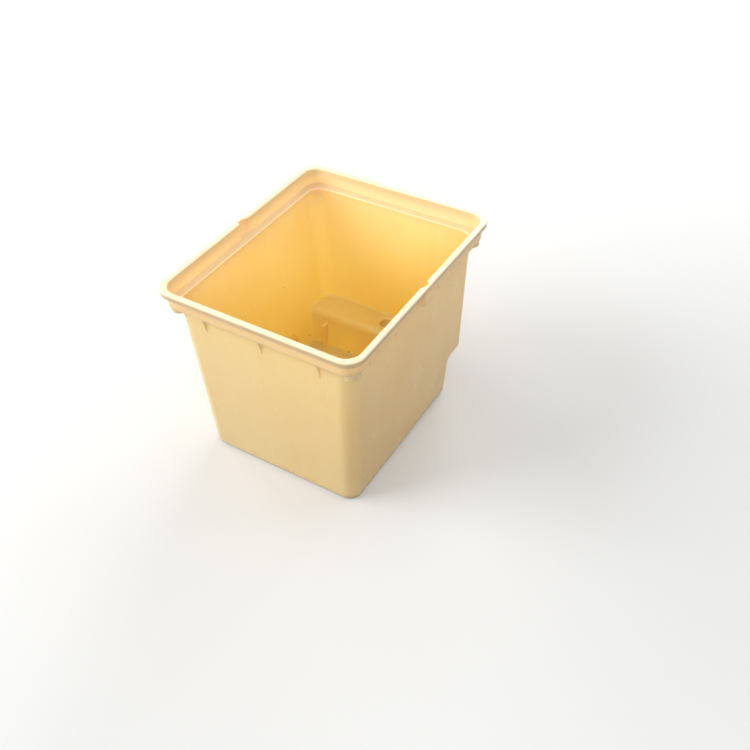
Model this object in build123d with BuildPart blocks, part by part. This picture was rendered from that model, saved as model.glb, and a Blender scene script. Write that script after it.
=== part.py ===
import os
from math import radians, tan

from build123d import *

# One-piece moulded growing bucket. X runs across it, Y from the front to the drain side, Z up from the base.

# Overall size
width = 250.0
length = 294.0
height = 230.0
wall = 1.8

# Rim: a flat flange with a skirt turned down round its outer edge
rim_width = 7.0
rim_corner = 20.0
skirt_drop = 6.8
skirt_wall = 1.8
skirt_draft = 10.0

# Band inside the rim, and the ledge at its foot
band_corner = 18.0
ledge_depth = 20.0
ledge_width = 9.4

# Tapered body below the ledge
side_draft = 2.7
end_draft = 1.15
body_corner = 17.0
base_round = 5.0

# Shelf over the drain pipe: the floor is stepped up along the whole drain side
shelf_height = 48.0
shelf_run = 44.5
step_draft = 8.0
step_round = 7.0

# Drain through the shelf
drain_bore = 16.0
drain_wall = 2.0
drain_entry = 2.5
drain_from_rear = 17.5
spout_length = 15.0

# Rests that stand on the floor against the walls
rest_height = 37.5
rest_reach = 4.8
rest_thickness = 3.0
rest_spacing_across = 152.0
rest_spacing_along = 92.0

# Stacking lugs under the ledge at the four corners
lug_radius = 9.0
lug_side_inset = 17.0
lug_end_inset = 19.5
lug_drop = 10.0

# Gussets between the ledge and the body, wide at the top and thin at the tip
gusset_top = 3.6
gusset_tip = 0.9
gusset_lean = 12.0
end_gusset_drop = 26.0
end_gusset_pitch = 71.6
side_gusset_drop = 20.5
side_gusset_places = (46.0, 97.0)

# Notch in the rim with a pocket below it, half way along each side
notch_depth = 4.0
notch_length = 8.5
notch_ramp = 7.0
notch_step = 4.5
notch_wall = 1.8
notch_round = 5.0
notch_corner = 1.2

# Outlines worked out from the sizes above
opening_width = width - 2 * rim_width
opening_length = length - 2 * rim_width
band_width = opening_width + 2 * wall
band_length = opening_length + 2 * wall
ledge_under = height - ledge_depth - wall
body_width = opening_width - 2 * ledge_width + 2 * wall
body_length = opening_length - 2 * ledge_width + 2 * wall
side_slope = tan(radians(side_draft))
end_slope = tan(radians(end_draft))
step_slope = tan(radians(step_draft))
base_width = body_width - 2 * ledge_under * side_slope
base_length = body_length - 2 * ledge_under * end_slope
rear_face = base_length / 2 + shelf_height * end_slope
step_foot = base_length / 2 - shelf_run
drain_y = rear_face - drain_from_rear
ramp_start = notch_step - notch_length
ramp_end = ramp_start - notch_ramp
rim_outer_round = 0.8 * wall
rim_inner_bevel = 0.5 * wall


def gusset(drop, slope):
    """A wedge under the ledge, with its back sunk in a wall whose outer face starts at Y 0 and leans in by the slope."""
    reach = drop * tan(radians(gusset_lean))
    sunk = wall / 2
    with BuildPart() as wedge:
        with BuildSketch(Plane.XY.offset(sunk)):
            with Locations((0, reach)):
                Rectangle(gusset_top, reach + sunk, align=(Align.CENTER, Align.MAX))
        with BuildSketch(Plane.XY.offset(-drop)):
            with Locations((0, -drop * slope)):
                Rectangle(gusset_tip, sunk, align=(Align.CENTER, Align.MAX))
        loft()
    return wedge.part


def rest_outline(foot, slope, side):
    """A rest seen from its edge: its front is upright, and its back is sunk in the wall that starts at the foot."""
    Polygon(
        (side * (foot - rest_reach), wall / 2),
        (side * (foot - rest_reach), rest_height),
        (side * (foot + rest_height * slope + wall / 2), rest_height),
        (side * (foot + wall / 2), wall / 2),
        align=None,
    )


end_gusset = gusset(end_gusset_drop, end_slope)
side_gusset = gusset(side_gusset_drop, side_slope)

# Rim: the flange, with the skirt leaning in below it
with BuildPart() as rim:
    with BuildSketch(Plane.XY.offset(height)):
        RectangleRounded(width, length, rim_corner)
        RectangleRounded(opening_width, opening_length, band_corner - wall, mode=Mode.SUBTRACT)
    extrude(amount=-wall)
    with BuildSketch(Plane.XY.offset(height - wall)):
        RectangleRounded(width, length, rim_corner)
    extrude(amount=wall - skirt_drop, taper=skirt_draft)
    with BuildSketch(Plane.XY.offset(height - wall)):
        RectangleRounded(width - 2 * skirt_wall, length - 2 * skirt_wall, rim_corner - skirt_wall)
    extrude(amount=wall - skirt_drop, taper=skirt_draft, mode=Mode.SUBTRACT)
    top = rim.faces().sort_by(Axis.Z)[-1]
    fillet(top.outer_wire().edges(), rim_outer_round)
    top = rim.faces().sort_by(Axis.Z)[-1]
    chamfer(top.inner_wires()[0].edges(), rim_inner_bevel)

# Outer form: the tapered body, the wider band above it and the step cut from under the drain side
with BuildPart() as bucket:
    with BuildSketch(Plane.XY):
        RectangleRounded(base_width, base_length, body_corner)
    with BuildSketch(Plane.XY.offset(ledge_under - lug_drop)):
        RectangleRounded(body_width - 2 * lug_drop * side_slope, body_length - 2 * lug_drop * end_slope, body_corner)
    with BuildSketch(Plane.XY.offset(ledge_under)):
        RectangleRounded(body_width, body_length, body_corner)
    loft(ruled=True)
    with BuildSketch(Plane.XY.offset(ledge_under)):
        RectangleRounded(band_width, band_length, band_corner)
    extrude(amount=height - wall - ledge_under)
    with BuildSketch(Plane.YZ) as step:
        Polygon(
            (step_foot, 0),
            (step_foot + shelf_height * step_slope, shelf_height),
            (length, shelf_height),
            (length, 0),
            align=None,
        )
        fillet(step.vertices().group_by(Axis.Y)[-1].sort_by(Axis.X)[0], step_round)
    extrude(amount=width, both=True, mode=Mode.SUBTRACT)

    # Every outer edge of the well and the shelf is rounded, apart from the two lines where the step round ends
    low_edges = bucket.edges().filter_by(lambda e: e.bounding_box().max.Z < shelf_height + step_round)
    across = low_edges.filter_by(Axis.X)
    crease = across.filter_by(lambda e: e.center().Z > 0 and e.center().Y < rear_face - shelf_run / 2)
    fillet(low_edges - crease, base_round)

    # Hollowed to an even wall, which rounds the ledge over into the body on the inside
    offset(amount=-wall, openings=bucket.faces().sort_by(Axis.Z)[-1])

    # Bosses outside the band for the pockets at the rim's notches
    with BuildSketch(Plane.XY.offset(ledge_under)):
        with PolarLocations(0, 2):
            with Locations((opening_width / 2 + wall / 2, notch_step + notch_wall)):
                Rectangle(
                    notch_depth + notch_wall - wall / 2,
                    notch_length + notch_ramp + notch_wall,
                    align=(Align.MIN, Align.MAX),
                )
    extrude(amount=height - wall - ledge_under)
    add(rim.part)

    # Notches: a step at one end and a soft ramp at the other, cut down to the ledge
    with BuildSketch(Plane.XY.offset(height)) as notches:
        with PolarLocations(0, 2):
            Polygon(
                (opening_width / 2 - wall, notch_step + 2 * notch_corner),
                (opening_width / 2, notch_step + 2 * notch_corner),
                (opening_width / 2, notch_step),
                (opening_width / 2 + notch_depth, notch_step),
                (opening_width / 2 + notch_depth, ramp_start),
                (opening_width / 2, ramp_end),
                (opening_width / 2, ramp_end - notch_ramp),
                (opening_width / 2 - wall, ramp_end - notch_ramp),
                align=None,
            )
        for side in (-1, 1):
            for x, y, radius in (
                (opening_width / 2, notch_step, notch_corner),
                (opening_width / 2 + notch_depth, ramp_start, notch_round),
                (opening_width / 2, ramp_end, notch_round),
            ):
                fillet(notches.vertices().sort_by_distance((side * x, side * y))[0], radius)
    extrude(amount=-ledge_depth, mode=Mode.SUBTRACT)

    # Stacking lugs, kept out of the inside of the bucket
    with BuildSketch(Plane.XY.offset(ledge_under - lug_drop)):
        with GridLocations(width - 2 * lug_side_inset, length - 2 * lug_end_inset, 2, 2):
            Circle(lug_radius)
        RectangleRounded(body_width - 2 * wall, body_length - 2 * wall, body_corner - wall, mode=Mode.SUBTRACT)
    extrude(amount=lug_drop)

    # Gussets under the ledge: three on each end, four on each side
    with PolarLocations(0, 2):
        with Locations(*[(x, body_length / 2, ledge_under) for x in (-end_gusset_pitch, 0, end_gusset_pitch)]):
            add(end_gusset)
    with PolarLocations(0, 2, start_angle=90):
        with Locations(*[(y * s, body_width / 2, ledge_under) for y in side_gusset_places for s in (-1, 1)]):
            add(side_gusset)

    # Rests: a pair on the step, on the front wall and on each side wall, rounded at the back where the wall meets the floor
    for place in (-rest_spacing_across / 2, rest_spacing_across / 2):
        with BuildSketch(Plane.YZ.offset(place)) as rests:
            rest_outline(step_foot - wall, step_slope, 1)
            rest_outline(base_length / 2 - wall, end_slope, -1)
            feet = rests.vertices().group_by(Axis.Y)[0].sort_by(Axis.X)
            fillet((feet[0], feet[-1]), base_round - wall / 2)
        extrude(amount=rest_thickness / 2, both=True)
    for place in (-rest_spacing_along / 2, rest_spacing_along / 2):
        with BuildSketch(Plane.XZ.offset(place)) as rests:
            rest_outline(base_width / 2 - wall, side_slope, 1)
            rest_outline(base_width / 2 - wall, side_slope, -1)
            feet = rests.vertices().group_by(Axis.Y)[0].sort_by(Axis.X)
            fillet((feet[0], feet[-1]), base_round - wall / 2)
        extrude(amount=rest_thickness / 2, both=True)

    # Drain: a hole through the shelf with a rounded entry, and a spout below it
    with BuildSketch(Plane.XY.offset(shelf_height + wall / 2)):
        with Locations((0, drain_y)):
            Circle(drain_bore / 2 + drain_wall)
    extrude(amount=-spout_length - wall / 2)
    with Locations((0, drain_y, shelf_height + wall)):
        Hole(drain_bore / 2, depth=spout_length + wall)
    entry = bucket.edges().filter_by(GeomType.CIRCLE).sort_by_distance((0, drain_y, shelf_height + wall))[0]
    fillet(entry, drain_entry)

os.makedirs("parts", exist_ok=True)
bucket.part.label = "bucket"
export_step(bucket.part, "parts/bucket.step")
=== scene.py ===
# %% [markdown]
# # A moulded growing bucket
#
# The bucket is one thin-walled plastic moulding, seen from above and from its front right corner. Its shape
# comes ready from the CAD frame, so this lesson adds what the frame doesn't have: the camera, the floor, the
# light, and a plastic that is satin, slightly uneven in tone and marked here and there by handling.

# %% Load the frame
from math import radians

import bpy
from mathutils import Euler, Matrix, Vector


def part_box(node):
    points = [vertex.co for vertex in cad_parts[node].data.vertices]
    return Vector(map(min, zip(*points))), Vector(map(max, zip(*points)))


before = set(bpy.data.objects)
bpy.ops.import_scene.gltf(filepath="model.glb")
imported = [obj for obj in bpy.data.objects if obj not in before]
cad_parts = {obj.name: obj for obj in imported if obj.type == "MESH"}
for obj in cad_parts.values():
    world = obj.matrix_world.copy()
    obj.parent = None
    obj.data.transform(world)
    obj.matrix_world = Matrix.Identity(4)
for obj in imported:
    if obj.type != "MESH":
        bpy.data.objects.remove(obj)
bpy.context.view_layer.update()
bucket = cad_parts["bucket"]
lowest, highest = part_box("bucket")
print("bucket box, metres:", lowest, highest)

# %% [markdown]
# ## Camera
#
# The camera stands where the photographer stood. The rim is a rectangle of known size, so its four corners in
# the picture fix the place, the turn and the lens at once. There is no shift and no depth of field.

# %% Camera
CAMERA_PLACE = Vector((0.4756, -0.6549, 0.7931))
CAMERA_TURN_DEGREES = (47.18, 1.76, 31.25)
CAMERA_LENS_MM = 43.38
SENSOR_MM = 36

camera_data = bpy.data.cameras.new("camera")
camera_data.sensor_width = SENSOR_MM
camera_data.lens = CAMERA_LENS_MM
camera = bpy.data.objects.new("camera", camera_data)
camera.location = CAMERA_PLACE
camera.rotation_euler = Euler([radians(angle) for angle in CAMERA_TURN_DEGREES])
bpy.context.scene.collection.objects.link(camera)
bpy.context.scene.camera = camera
bpy.context.scene.view_settings.view_transform = "Standard"
print("camera to the middle of the base, metres:", round(CAMERA_PLACE.length, 2))

# %% [markdown]
# ## Node helpers
#
# The materials are built from a few kinds of node only. Each helper makes one, fills its sockets with numbers
# or with other nodes' outputs, and gives back the output.


# %% Node helpers
EVEN = (1.0, 1.0, 1.0)
ORIGIN = (0.0, 0.0, 0.0)
WHITE = (1, 1, 1, 1)


def fill(tree, socket, value):
    """Put a number, vector or colour on a socket, or link another node's output to it."""
    if isinstance(value, bpy.types.NodeSocket):
        tree.links.new(value, socket)
    else:
        socket.default_value = value


def number(tree, operation, first, second=0.0, third=0.0, clamp=False):
    """One step of arithmetic. Few operations read the third value."""
    node = tree.nodes.new("ShaderNodeMath")
    node.operation = operation
    node.use_clamp = clamp
    for socket, value in zip(node.inputs, (first, second, third)):
        fill(tree, socket, value)
    return node.outputs["Value"]


def largest(tree, values):
    """The largest of several numbers."""
    result, *others = values
    for other in others:
        result = number(tree, "MAXIMUM", result, other)
    return result


def vector(tree, operation, first, second=ORIGIN, scale=1.0):
    """One step of vector arithmetic, which gives a number where the operation measures something."""
    node = tree.nodes.new("ShaderNodeVectorMath")
    node.operation = operation
    fill(tree, node.inputs[0], first)
    fill(tree, node.inputs[1], second)
    fill(tree, node.inputs[3], scale)
    return node.outputs["Value" if operation in ("DOT_PRODUCT", "DISTANCE") else "Vector"]


def parts_of(tree, value):
    """The three parts of a vector."""
    node = tree.nodes.new("ShaderNodeSeparateXYZ")
    fill(tree, node.inputs["Vector"], value)
    return [node.outputs[axis] for axis in "XYZ"]


def step(tree, value, start, end, curve="SMOOTHSTEP"):
    """A soft step, 0 at the start and 1 at the end. It falls where the start is the larger."""
    node = tree.nodes.new("ShaderNodeMapRange")
    node.interpolation_type = curve
    fill(tree, node.inputs["Value"], value)
    node.inputs["From Min"].default_value = start
    node.inputs["From Max"].default_value = end
    return node.outputs["Result"]


def mixed(tree, amount, below, above, label=""):
    """Two colours mixed by an amount from 0 to 1."""
    node = tree.nodes.new("ShaderNodeMix")
    node.data_type = "RGBA"
    node.label = label
    colours = [socket for socket in node.inputs if socket.type == "RGBA"]
    fill(tree, node.inputs[0], amount)
    fill(tree, colours[0], below)
    fill(tree, colours[1], above)
    return next(socket for socket in node.outputs if socket.type == "RGBA")


def new_group(name, inputs, outputs):
    """An empty node group with named sockets. Gives back the group, what comes in and what goes out."""
    group = bpy.data.node_groups.new(name, "ShaderNodeTree")
    for socket_name, kind in inputs.items():
        group.interface.new_socket(name=socket_name, in_out="INPUT", socket_type=kind)
    for socket_name, kind in outputs.items():
        group.interface.new_socket(name=socket_name, in_out="OUTPUT", socket_type=kind)
    arriving = group.nodes.new("NodeGroupInput").outputs
    leaving = group.nodes.new("NodeGroupOutput").inputs
    return group, arriving, leaving


def use_group(tree, group, **values):
    """A node that runs a group, with its inputs filled by name."""
    node = tree.nodes.new("ShaderNodeGroup")
    node.node_tree = group
    for name, value in values.items():
        fill(tree, node.inputs[name], value)
    return node.outputs


# %% [markdown]
# ## Floor
#
# A plain pale sheet catches the shadow. It is far larger than the view, so no edge shows. What it throws back
# at the bucket as soft light is dimmer than what the camera sees, as where such a bucket hangs over open
# ground. Far from the bucket, where the lamps don't reach, the sheet glows for the camera alone, so it stays
# pale up to the horizon.

# %% Floor
FLOOR_SIZE = 12
FLOOR_SEEN = (0.72, 0.72, 0.71, 1)
FLOOR_THROWN = (0.150, 0.147, 0.141, 1)
FLOOR_ROUGHNESS = 0.9
FLOOR_SHEEN_LEVEL = 0.1
# Where the floor's glow starts and where it is whole, in metres from the bucket, and its strength
GLOW_FROM = 0.8
GLOW_WHOLE = 4.0
GLOW_STRENGTH = 0.85

bpy.ops.object.select_all(action="DESELECT")
bpy.ops.mesh.primitive_plane_add(size=FLOOR_SIZE)
floor = bpy.context.object
floor.name = "floor"
floor_finish = bpy.data.materials.new("floor_paper")
floor_finish.use_nodes = True
floor_tree = floor_finish.node_tree
floor_shader = floor_tree.nodes["Principled BSDF"]
floor_path = floor_tree.nodes.new("ShaderNodeLightPath").outputs
floor_place = floor_tree.nodes.new("ShaderNodeTexCoord").outputs["Object"]
floor_colour = mixed(floor_tree, floor_path["Is Diffuse Ray"], FLOOR_SEEN, FLOOR_THROWN, label="floor")
from_bucket = vector(floor_tree, "DISTANCE", floor_place)
glow = number(floor_tree, "MULTIPLY", step(floor_tree, from_bucket, GLOW_FROM, GLOW_WHOLE), GLOW_STRENGTH)
glow_shown = number(floor_tree, "MULTIPLY", glow, floor_path["Is Camera Ray"])
fill(floor_tree, floor_shader.inputs["Base Color"], floor_colour)
fill(floor_tree, floor_shader.inputs["Emission Strength"], glow_shown)
floor_shader.inputs["Emission Color"].default_value = WHITE
floor_shader.inputs["Roughness"].default_value = FLOOR_ROUGHNESS
floor_shader.inputs["Specular IOR Level"].default_value = FLOOR_SHEEN_LEVEL
floor.data.materials.append(floor_finish)
print("floor, metres across:", FLOOR_SIZE)

# %% [markdown]
# ## Light
#
# Two wide lamps at the front light the outer walls, the left one the more, so the front wall is lighter than
# the right one. Two low lamps, at the left and behind, shine through the thin walls, which makes the inside
# glow. Weak lamps overhead and at the back right fill in the rest. The sky gives little light, but the camera
# and the shine on the plastic see it pale, which keeps the background light and the rim's flat top bright.

# %% Light
SKY_STRENGTH = 0.12
SKY_SHOWN = 0.95
# Name, place, width in metres, watts
LAMPS = (
    ("front_left", (-1.6, -1.2, 1.3), 1.5, 45),
    ("front_right", (1.2, -1.6, 1.4), 1.2, 25),
    ("top_lamp", (0.1, 0.1, 2.3), 1.6, 10),
    ("back_right", (1.2, 1.4, 1.4), 1.2, 10),
    ("left_low", (-1.9, 0.2, 0.75), 1.4, 16),
    ("back_low", (-0.2, 2.0, 0.8), 1.4, 34),
)
LAMP_TARGET = Vector((0, 0, 0.12))

world = bpy.data.worlds.new("studio")
world.use_nodes = True
sky = world.node_tree.nodes["Background"]
sky_path = world.node_tree.nodes.new("ShaderNodeLightPath").outputs
shown_rays = [sky_path[ray] for ray in ("Is Camera Ray", "Is Glossy Ray", "Is Transmission Ray")]
sky_shown = largest(world.node_tree, shown_rays)
sky_strength = number(world.node_tree, "MULTIPLY_ADD", sky_shown, SKY_SHOWN - SKY_STRENGTH, SKY_STRENGTH)
sky.inputs["Color"].default_value = WHITE
fill(world.node_tree, sky.inputs["Strength"], sky_strength)
bpy.context.scene.world = world

for lamp_name, lamp_place, lamp_size, watts in LAMPS:
    lamp_data = bpy.data.lights.new(lamp_name, "AREA")
    lamp_data.size = lamp_size
    lamp_data.energy = watts
    lamp = bpy.data.objects.new(lamp_name, lamp_data)
    lamp.location = lamp_place
    lamp.rotation_euler = (LAMP_TARGET - lamp.location).to_track_quat("-Z", "Y").to_euler()
    bpy.context.scene.collection.objects.link(lamp)
print("lamps:", len(LAMPS), "watts in all:", sum(lamp[3] for lamp in LAMPS))

# %% [markdown]
# ## Marks
#
# A mark is a stroke between two points on the bucket. A speck is a stroke with both ends in one place. The
# group measures how far a point of the surface is from the stroke, in widths of the stroke. It is 1 on the
# stroke's middle and falls to 0 a width away.

# %% Marks
# Where a stroke is still whole and where it ends, in widths from its middle
STROKE_WHOLE = 0.4
STROKE_END = 1.0

stroke_group, stroke_in, stroke_out = new_group(
    "stroke_mask",
    {
        "Point": "NodeSocketVector",
        "From": "NodeSocketVector",
        "To": "NodeSocketVector",
        "Width": "NodeSocketFloat",
    },
    {"Mask": "NodeSocketFloat"},
)
run = vector(stroke_group, "SUBTRACT", stroke_in["To"], stroke_in["From"])
reach = vector(stroke_group, "SUBTRACT", stroke_in["Point"], stroke_in["From"])
run_squared = vector(stroke_group, "DOT_PRODUCT", run, run)
reach_on_run = vector(stroke_group, "DOT_PRODUCT", reach, run)
share = number(stroke_group, "DIVIDE", reach_on_run, run_squared, clamp=True)
nearest = vector(stroke_group, "ADD", stroke_in["From"], vector(stroke_group, "SCALE", run, scale=share))
distance = vector(stroke_group, "DISTANCE", stroke_in["Point"], nearest)
in_widths = number(stroke_group, "DIVIDE", distance, stroke_in["Width"])
fill(stroke_group, stroke_out["Mask"], step(stroke_group, in_widths, STROKE_END, STROKE_WHOLE))


def marks(tree, point, strokes):
    """All the strokes of a list in one mask."""
    masks = [
        use_group(tree, stroke_group, Point=point, From=start, To=end, Width=width)["Mask"]
        for start, end, width in strokes
    ]
    return largest(tree, masks)


# Grey rubs on the front wall: from, to, width
SCUFFS = (
    ((-0.0094, -0.1291, 0.0420), (-0.0090, -0.1287, 0.0215), 0.0009),
    ((-0.0077, -0.1313, 0.1555), (0.0033, -0.1316, 0.1662), 0.0009),
    ((-0.0840, -0.1284, 0.0110), (-0.0831, -0.1283, 0.0050), 0.0011),
)
# Dark specks: two at the foot of the step, one on the left wall inside, one on the right wall outside
SPECKS = (
    ((-0.0994, 0.0766, 0.0132), (-0.0985, 0.0780, 0.0125), 0.0012),
    ((-0.0412, 0.0823, 0.0038), (-0.0400, 0.0823, 0.0038), 0.0010),
    ((-0.1042, 0.0416, 0.1143), (-0.1042, 0.0416, 0.1143), 0.0010),
    ((0.1086, 0.0796, 0.1701), (0.1086, 0.0796, 0.1701), 0.0010),
)
print("scuffs:", len(SCUFFS), "specks:", len(SPECKS))

# %% [markdown]
# ## Inside or outside
#
# The inside of the bucket is painted a deeper orange, the deeper the further down it lies: a painted shade. A
# face is on the inside if it looks towards the middle of the space in the bucket and lies within the walls,
# above the floor, below the ledge and not under the shelf. The first test alone would take in the underside
# of the rim, and the second alone the rounded outer corners. The sizes are those of the moulding, in metres.

# %% Inside or outside
MIDDLE_OF_SPACE = (0.0, 0.0, 0.15)
FACING_BLEND = 0.002
# The middle of each wall at the floor, from the bucket's middle, and how far it leans out for each metre up
FOOT_HALF_WIDTH = 0.0997
FOOT_HALF_LENGTH = 0.1273
SIDE_LEAN = 0.0472
END_LEAN = 0.0201
# The step and the shelf, held back by as much as their edge is rounded
STEP_ROUND = 0.003
STEP_FOOT = 0.0828 + STEP_ROUND
STEP_LEAN = 0.1405
SHELF_MIDDLE = 0.0489 - STEP_ROUND
LEDGE_MIDDLE = 0.2091
WALL_BLEND = 0.0004
SHADE_WHOLE_BELOW = 0.10

inner_group, inner_in, inner_out = new_group(
    "inner_face",
    {"Point": "NodeSocketVector", "Facing": "NodeSocketVector"},
    {"Looks inwards": "NodeSocketFloat", "Between walls": "NodeSocketFloat", "Painted shade": "NodeSocketFloat"},
)
across, lengthways, up = parts_of(inner_group, inner_in["Point"])
to_middle = vector(inner_group, "SUBTRACT", MIDDLE_OF_SPACE, inner_in["Point"])
facing_middle = vector(inner_group, "DOT_PRODUCT", to_middle, inner_in["Facing"])
looks_inwards = step(inner_group, facing_middle, -FACING_BLEND, FACING_BLEND)


def past_wall(out, foot, lean):
    """How far a point lies beyond the middle of a leaning wall. It is negative on the inside."""
    wall_middle = number(inner_group, "MULTIPLY_ADD", up, lean, foot)
    return number(inner_group, "SUBTRACT", out, wall_middle)


past_step = past_wall(lengthways, STEP_FOOT, STEP_LEAN)
under_shelf = number(inner_group, "SUBTRACT", SHELF_MIDDLE, up)
furthest_past = largest(
    inner_group,
    (
        number(inner_group, "MINIMUM", past_step, under_shelf),
        past_wall(number(inner_group, "ABSOLUTE", across), FOOT_HALF_WIDTH, SIDE_LEAN),
        past_wall(number(inner_group, "ABSOLUTE", lengthways), FOOT_HALF_LENGTH, END_LEAN),
        number(inner_group, "SUBTRACT", up, LEDGE_MIDDLE),
    ),
)
within_walls = step(inner_group, furthest_past, WALL_BLEND, -WALL_BLEND)
between_walls = number(inner_group, "MULTIPLY", within_walls, looks_inwards)
# Painted shade: from the ledge down, the inside turns to its deeper colour.
painted_depth_shade = step(inner_group, up, LEDGE_MIDDLE, SHADE_WHOLE_BELOW, curve="LINEAR")
fill(inner_group, inner_out["Looks inwards"], looks_inwards)
fill(inner_group, inner_out["Between walls"], between_walls)
fill(inner_group, inner_out["Painted shade"], number(inner_group, "MULTIPLY", between_walls, painted_depth_shade))
print("nodes in the inner_face group:", len(inner_group.nodes))

# %% [markdown]
# ## The plastic's surface
#
# Everything that changes over the surface is gathered in one group, which takes a point and the way the face
# looks there, and puts out a colour, a roughness and a height. It is filled in the next few cells, from the
# moulding's own tones, with painted shade and highlight among them, to the marks on top of them. All its
# irregularity comes from the ten noise patterns in this table.

# %% The plastic's surface
DRAWN_DOWN = (1.0, 1.0, 0.06)
LONG_LINES = (1.0, 1.0, 0.03)
# Pattern: bumps to the metre, levels of detail, stretch, and a shift so that no two patterns line up
PATTERNS = {
    "drift": (8.0, 3.0, EVEN, 0.0),
    "streaks": (70.0, 3.0, DRAWN_DOWN, 3.0),
    "patches": (45.0, 4.0, EVEN, 7.0),
    "scratch lines": (900.0, 1.0, LONG_LINES, 11.0),
    "scratch places": (26.0, 2.0, EVEN, 17.0),
    "dirt": (120.0, 4.0, EVEN, 23.0),
    "dust": (520.0, 0.0, EVEN, 29.0),
    "scuff breaks": (700.0, 2.0, EVEN, 31.0),
    "waves": (14.0, 1.0, EVEN, 37.0),
    "orange peel": (850.0, 1.0, EVEN, 41.0),
}

surface, surface_in, surface_out = new_group(
    "plastic_surface",
    {"Point": "NodeSocketVector", "Facing": "NodeSocketVector"},
    {"Colour": "NodeSocketColor", "Roughness": "NodeSocketFloat", "Height": "NodeSocketFloat"},
)
point = surface_in["Point"]
height = parts_of(surface, point)[2]
facing_up = parts_of(surface, surface_in["Facing"])[2]
inner = use_group(surface, inner_group, Point=point, Facing=surface_in["Facing"])


def pattern(name):
    """One noise pattern from the table, from 0 to 1."""
    scale, detail, stretch, shift = PATTERNS[name]
    node = surface.nodes.new("ShaderNodeTexNoise")
    stretched = vector(surface, "MULTIPLY", point, stretch)
    fill(surface, node.inputs["Vector"], vector(surface, "ADD", stretched, (shift, shift, shift)))
    node.inputs["Scale"].default_value = scale
    node.inputs["Detail"].default_value = detail
    return node.outputs[0]


def scaled(value, amount):
    """A mask or pattern times a number or another mask."""
    return number(surface, "MULTIPLY", value, amount)


def opposite(mask):
    """A mask that is 1 where the given one is 0."""
    return number(surface, "SUBTRACT", 1.0, mask)


def layered(colour, amount, above, label):
    """A colour laid over another by an amount from 0 to 1."""
    return mixed(surface, amount, colour, above, label=label)


print("patterns:", len(PATTERNS))

# %% [markdown]
# ## Tones
#
# The pigment isn't quite even in a moulding. The tone drifts slowly over a wall, and faint streaks run down
# it in the direction in which the plastic flowed. The same drift is used on the outside and in the inside,
# which is painted deeper as shade, each between a paler and a deeper tone of its own.

# %% Tones
# The inside tones carry a painted shade, laid on more fully further down.
OUTSIDE_PALE = (0.985, 0.710, 0.370, 1)
OUTSIDE_DEEP = (0.975, 0.670, 0.320, 1)
INSIDE_SHADED_PALE = (0.990, 0.730, 0.285, 1)
INSIDE_SHADED_DEEP = (0.985, 0.690, 0.240, 1)
DRIFT_SHARE = 0.7
TONE_RANGE = (0.3, 0.7)

uneven = number(
    surface, "ADD", scaled(pattern("drift"), DRIFT_SHARE), scaled(pattern("streaks"), 1 - DRIFT_SHARE)
)
tone = step(surface, uneven, *TONE_RANGE)
outside = mixed(surface, tone, OUTSIDE_PALE, OUTSIDE_DEEP, label="outside")
inside_painted_shade = mixed(surface, tone, INSIDE_SHADED_PALE, INSIDE_SHADED_DEEP, label="inside_painted_shade")
# Painted shade: the deeper inside colour, laid on by depth below the ledge.
colour = layered(outside, inner["Painted shade"], inside_painted_shade, label="painted_depth_shade")
print("palest outside:", OUTSIDE_PALE[:3], "deepest inside:", INSIDE_SHADED_DEEP[:3])

# %% [markdown]
# ## Band, rim and skirt
#
# Above the ledge the wall is a band whose inside, like the ledge at its foot, is painted a duller, less
# orange tone, a painted shade where the skirt holds back the light that shines through the wall. The rim's
# flat top is painted pale in patches, partly wear and partly a painted highlight. The skirt under it, and
# less so the outside of the band, are a little darker in patches, partly handling dirt where hands take hold
# and partly painted shade under the rim. Each is found by its height, and by whether it looks inwards,
# upwards or outwards.

# %% Band, rim and skirt
# Painted shade: a duller, less orange tone for the inner band and the ledge.
BAND_PAINTED_SHADE = (0.91, 0.69, 0.43, 1)
# Partly wear and partly a painted highlight: the pale colour of the rim's flat top.
RIM_WEAR_AND_HIGHLIGHT = (0.975, 0.780, 0.600, 1)
# Partly handling dirt and partly painted shade under the rim's overhang.
HANDLING_DIRT_AND_SHADE = (0.86, 0.60, 0.36, 1)
BAND_SHADE_AMOUNT = 0.9
RIM_PALE_AMOUNT = 0.85
OUTER_BAND_DIRT_AND_SHADE_AMOUNT = 0.55
# How far a face has to look upwards to belong to the ledge
UPWARD_RANGE = (0.4, 0.6)
RIM_TOP = highest[2]
SKIRT_TOP = RIM_TOP - 0.0015
SKIRT_FOOT = RIM_TOP - 0.0068
BAND_TOP_RANGE = (RIM_TOP - 0.0008, SKIRT_TOP)
RIM_PALE_RANGE = (RIM_TOP - 0.0016, RIM_TOP - 0.0002)
SKIRT_FOOT_RANGE = (SKIRT_FOOT - 0.001, SKIRT_FOOT)
OUTER_BAND_DIRT_AND_SHADE_RANGE = (LEDGE_MIDDLE - 0.0015, LEDGE_MIDDLE)
RIM_PALE_PATCHES = (0.05, 0.55)
GRIP_DIRT_AND_SHADE_PATCHES = (-0.2, 0.7)

patches = pattern("patches")
above_ledge = step(surface, height, LEDGE_MIDDLE, LEDGE_MIDDLE + WALL_BLEND)
band_heights = scaled(above_ledge, step(surface, height, *BAND_TOP_RANGE))
looks_in_or_up = largest(surface, (inner["Looks inwards"], step(surface, facing_up, *UPWARD_RANGE)))
# The inner band and the ledge get the painted shade.
band_painted_shade = scaled(band_heights, looks_in_or_up)
colour = layered(colour, scaled(band_painted_shade, BAND_SHADE_AMOUNT), BAND_PAINTED_SHADE, label="band")

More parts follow.
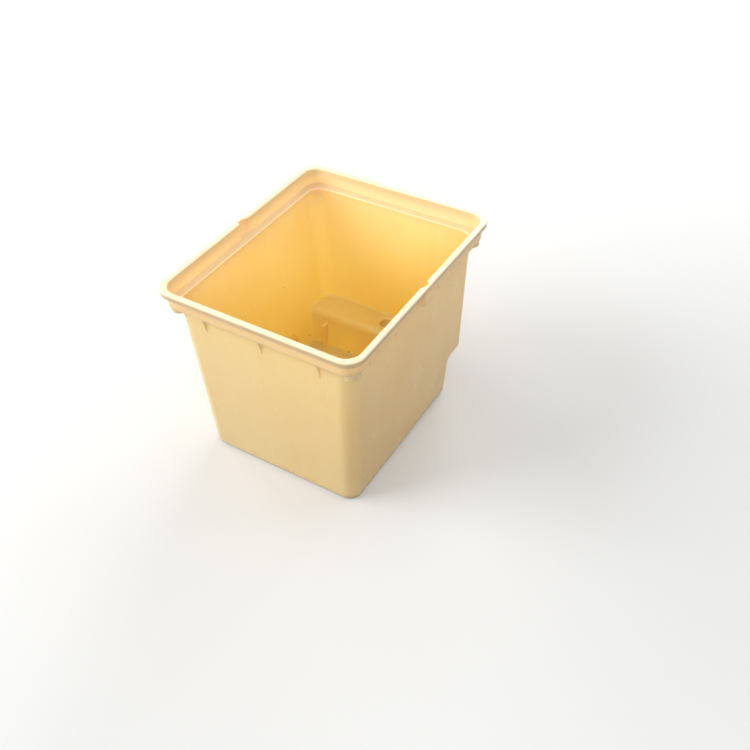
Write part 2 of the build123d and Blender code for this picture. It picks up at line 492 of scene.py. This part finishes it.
# The rim's flat top is painted pale in patches, partly wear and partly a painted highlight.
rim_wear_and_highlight = scaled(step(surface, height, *RIM_PALE_RANGE), step(surface, patches, *RIM_PALE_PATCHES))
colour = layered(colour, scaled(rim_wear_and_highlight, RIM_PALE_AMOUNT), RIM_WEAR_AND_HIGHLIGHT, label="rim")

# Handling dirt and painted shade: the skirt and the outside of the band are darkened under the rim.
below_top = scaled(step(surface, height, RIM_TOP, SKIRT_TOP), opposite(inner["Looks inwards"]))
on_skirt = step(surface, height, *SKIRT_FOOT_RANGE)
outer_band_dirt_and_shade = scaled(step(surface, height, *OUTER_BAND_DIRT_AND_SHADE_RANGE), OUTER_BAND_DIRT_AND_SHADE_AMOUNT)
grip_dirt_and_shade = scaled(largest(surface, (on_skirt, outer_band_dirt_and_shade)), below_top)
colour = layered(colour, scaled(grip_dirt_and_shade, step(surface, patches, *GRIP_DIRT_AND_SHADE_PATCHES)), HANDLING_DIRT_AND_SHADE, label="handled_and_shaded")
print("skirt from", round(SKIRT_FOOT, 4), "to", round(SKIRT_TOP, 4), "metres up")

# %% [markdown]
# ## Scratches, dirt and specks
#
# Use leaves four kinds of mark. Hairline scratches run down the walls in some places only. Dirt gathers in
# blotches round the outer foot. Dust is a scatter of fine dots all over. Last come the few scuffs and specks
# that are placed one by one, the scuffs broken up, because a rub catches only the high spots.

# %% Scratches, dirt and specks
SCRATCHED = (0.95, 0.83, 0.58, 1)
SCUFF_GREY = (0.42, 0.36, 0.27, 1)
DIRT = (0.20, 0.13, 0.06, 1)
SCRATCH_AMOUNT = 0.16
DIRT_AMOUNT = 0.22
DUST_AMOUNT = 0.2
SCUFF_AMOUNT = 0.3
SPECK_AMOUNT = 0.75
# The part of a pattern that counts: none of a mark at the first value, all of it at the second
SCRATCH_LINES_RANGE = (0.66, 0.74)
SCRATCH_PLACES_RANGE = (0.5, 0.72)
DIRT_RANGE = (0.42, 0.68)
DUST_RANGE = (0.83, 0.87)
SCUFF_BREAKS_RANGE = (0.32, 0.55)
FOOT_RANGE = (0.016, 0.001)

scratch_places = step(surface, pattern("scratch places"), *SCRATCH_PLACES_RANGE)
scratches = scaled(step(surface, pattern("scratch lines"), *SCRATCH_LINES_RANGE), scratch_places)
colour = layered(colour, scaled(scratches, SCRATCH_AMOUNT), SCRATCHED, label="scratches")

foot = scaled(step(surface, height, *FOOT_RANGE), opposite(inner["Between walls"]))
blotches = scaled(foot, step(surface, pattern("dirt"), *DIRT_RANGE))
colour = layered(colour, scaled(blotches, DIRT_AMOUNT), DIRT, label="foot dirt")

dust = step(surface, pattern("dust"), *DUST_RANGE)
colour = layered(colour, scaled(dust, DUST_AMOUNT), DIRT, label="dust")

scuffed = marks(surface, point, SCUFFS)
broken = scaled(scuffed, step(surface, pattern("scuff breaks"), *SCUFF_BREAKS_RANGE))
colour = layered(colour, scaled(broken, SCUFF_AMOUNT), SCUFF_GREY, label="scuffs")
colour = layered(colour, scaled(marks(surface, point, SPECKS), SPECK_AMOUNT), DIRT, label="specks")
fill(surface, surface_out["Colour"], colour)
print("nodes in the plastic_surface group so far:", len(surface.nodes))

# %% [markdown]
# ## Sheen and relief
#
# A satin moulding is smooth, but not evenly so: handled patches are duller, and so are the rubbed rim, the
# scratches and the scuffs. The relief has two scales, a shallow waviness of the thin walls, which bends their
# reflections, and the fine orange peel of the mould.

# %% Sheen and relief
SMOOTHEST = 0.18
ROUGHER_PATCHES = 0.12
ROUGHER_RIM = 0.10
ROUGHER_MARKS = 0.15
WAVE_HEIGHT = 0.9
PEEL_HEIGHT = 0.02

roughness = number(surface, "MULTIPLY_ADD", patches, ROUGHER_PATCHES, SMOOTHEST)
for mask, more in ((rim_wear_and_highlight, ROUGHER_RIM), (scratches, ROUGHER_MARKS), (scuffed, ROUGHER_MARKS)):
    roughness = number(surface, "MULTIPLY_ADD", mask, more, roughness, clamp=True)
fill(surface, surface_out["Roughness"], roughness)

waves = scaled(pattern("waves"), WAVE_HEIGHT)
peel = scaled(pattern("orange peel"), PEEL_HEIGHT)
fill(surface, surface_out["Height"], number(surface, "ADD", waves, peel))
print("roughness from", SMOOTHEST, "to", round(SMOOTHEST + ROUGHER_PATCHES + ROUGHER_RIM + ROUGHER_MARKS, 2))

# %% [markdown]
# ## The plastic
#
# The shader is a satin polypropylene. The walls are under two millimetres thick, so light soaks into them and
# comes out on the other side. Subsurface scattering over a few millimetres does that, with the red going a
# little further than the blue, which makes the inside glow a deeper orange than the outside, on top of the
# shade painted there.

# %% The plastic
PLASTIC_IOR = 1.49
SCATTER_WEIGHT = 0.8
SCATTER_METRES = 0.0045
SCATTER_BY_COLOUR = (1.0, 0.9, 0.75)
RELIEF_METRES = 0.001

plastic = bpy.data.materials.new("satin_plastic")
plastic.use_nodes = True
tree = plastic.node_tree
shader = tree.nodes["Principled BSDF"]
shader.inputs["IOR"].default_value = PLASTIC_IOR
shader.inputs["Subsurface Weight"].default_value = SCATTER_WEIGHT
shader.inputs["Subsurface Radius"].default_value = SCATTER_BY_COLOUR
shader.inputs["Subsurface Scale"].default_value = SCATTER_METRES

coordinates = tree.nodes.new("ShaderNodeTexCoord").outputs
look = use_group(tree, surface, Point=coordinates["Object"], Facing=coordinates["Normal"])
relief = tree.nodes.new("ShaderNodeBump")
relief.inputs["Distance"].default_value = RELIEF_METRES
fill(tree, relief.inputs["Height"], look["Height"])
fill(tree, shader.inputs["Base Color"], look["Colour"])
fill(tree, shader.inputs["Roughness"], look["Roughness"])
fill(tree, shader.inputs["Normal"], relief.outputs["Normal"])

bucket.data.materials.clear()
bucket.data.materials.append(plastic)
print("bucket's material:", bucket.data.materials[0].name)
